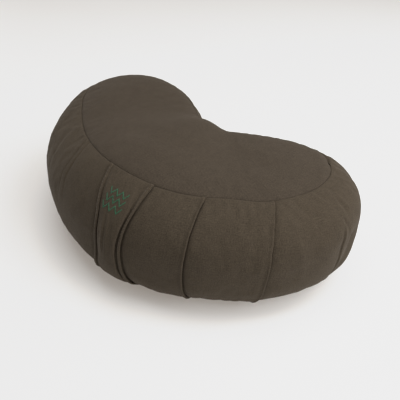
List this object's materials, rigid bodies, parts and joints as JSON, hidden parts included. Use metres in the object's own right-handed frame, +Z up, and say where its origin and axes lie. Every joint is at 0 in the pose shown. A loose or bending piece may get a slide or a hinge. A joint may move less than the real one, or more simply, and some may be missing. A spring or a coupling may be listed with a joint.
{
  "type": "crescent meditation cushion",
  "caption": "Crescent-shaped floor cushion for sitting upright: a firm filled body with a pleated side band, a bay for the heels and a hemmed carry strap on its outer curve.",
  "frame": {"origin": "middle of the footprint, on the floor under the cushion", "axes": "+X along the cushion's length, to the right of a person who looks at the outer curve; +Y from the outer curve towards the bay; +Z up"},
  "size_m": [0.44, 0.2744, 0.155],
  "materials": {
    "band_cloth": "matte plain-weave cotton, dark brown-taupe",
    "panel_cloth": "matte plain-weave cotton, dark brown-taupe",
    "strap_cloth": "matte plain-weave cotton, dark brown-taupe"
  },
  "bodies": {
    "root": {"filled_side_band": "band_cloth", "top_panel": "panel_cloth", "bottom_panel": "panel_cloth", "carry_strap": "strap_cloth"}
  },
  "joints": []
}
